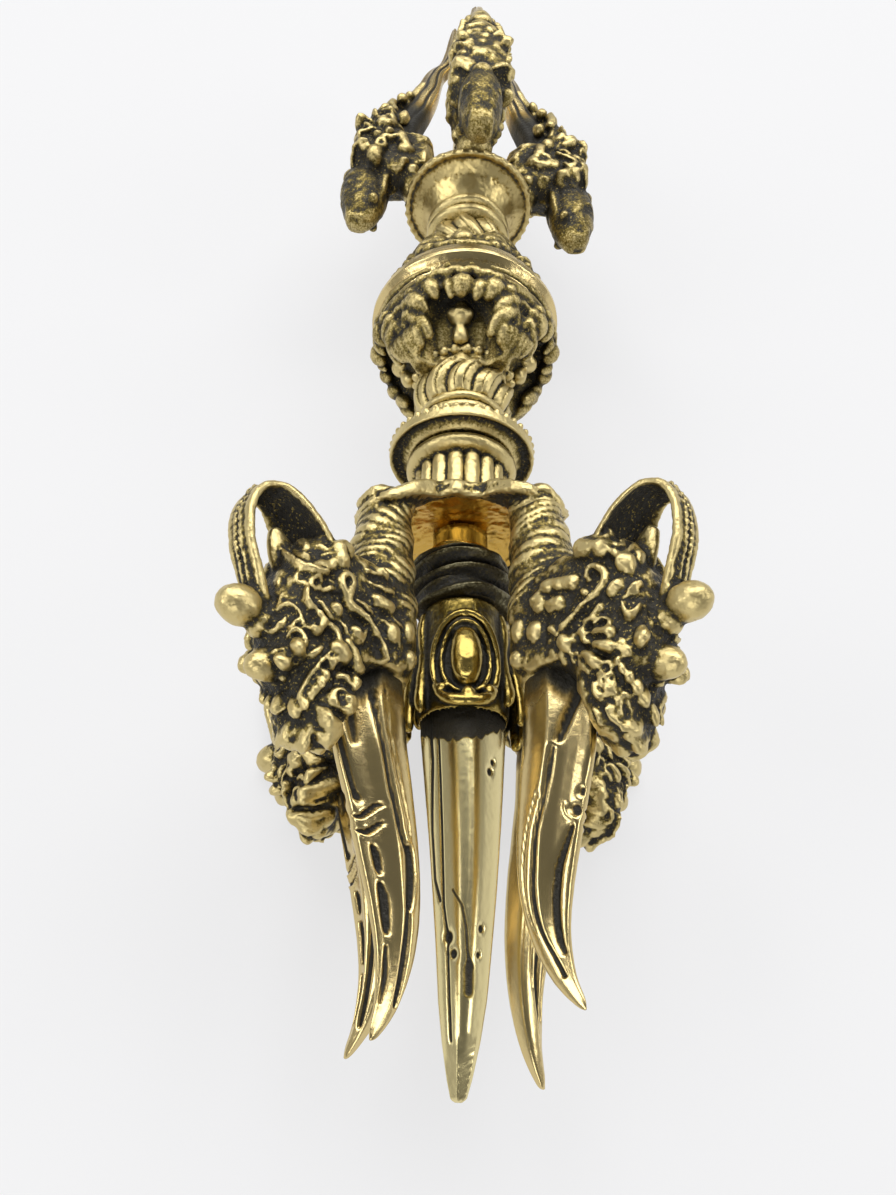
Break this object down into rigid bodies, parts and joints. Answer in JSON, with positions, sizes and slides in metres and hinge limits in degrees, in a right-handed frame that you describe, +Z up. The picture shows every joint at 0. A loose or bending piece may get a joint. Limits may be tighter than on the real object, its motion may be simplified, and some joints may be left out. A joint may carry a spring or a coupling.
{
  "type": "vajra ritual sceptre",
  "caption": "Brass ritual vajra on its side: lotus hub in the middle, a wide open claw of makara prongs on one end and a slim closed claw on the other.",
  "frame": {"origin": "bottom centre of the bounding box, on the surface that the object lies on", "axes": "+Y runs along the shaft from the wide open claw to the slim closed claw, +Z is up, +X is to the right"},
  "size_m": [0.055, 0.2066, 0.0492],
  "materials": {
    "cast_brass": "polished highs over dark patina",
    "dark_brass": "dark patina",
    "rod_brass": "plain drawn rod"
  },
  "bodies": {
    "root": {"core_rod": "rod_brass", "hub_band": "cast_brass", "near_hub_lotus": "cast_brass", "near_pearl_ring": "cast_brass", "near_lotus_bulb": "cast_brass", "near_neck_rings": "dark_brass", "near_collar": "cast_brass", "near_fluted_neck": "cast_brass", "near_flange": "cast_brass", "near_spike": "cast_brass", "near_base_rings": "dark_brass", "near_spike_sleeve": "cast_brass", "near_prong_upper_left": "cast_brass", "near_prong_upper_right": "cast_brass", "near_prong_lower_right": "cast_brass", "near_prong_lower_left": "cast_brass", "far_hub_lotus": "cast_brass", "far_pearl_ring": "cast_brass", "far_lotus_bulb": "cast_brass", "far_neck_rings": "dark_brass", "far_flange": "cast_brass", "far_spike": "cast_brass", "far_prong_top": "cast_brass", "far_prong_right": "cast_brass", "far_prong_bottom": "cast_brass", "far_prong_left": "cast_brass"}
  },
  "joints": []
}
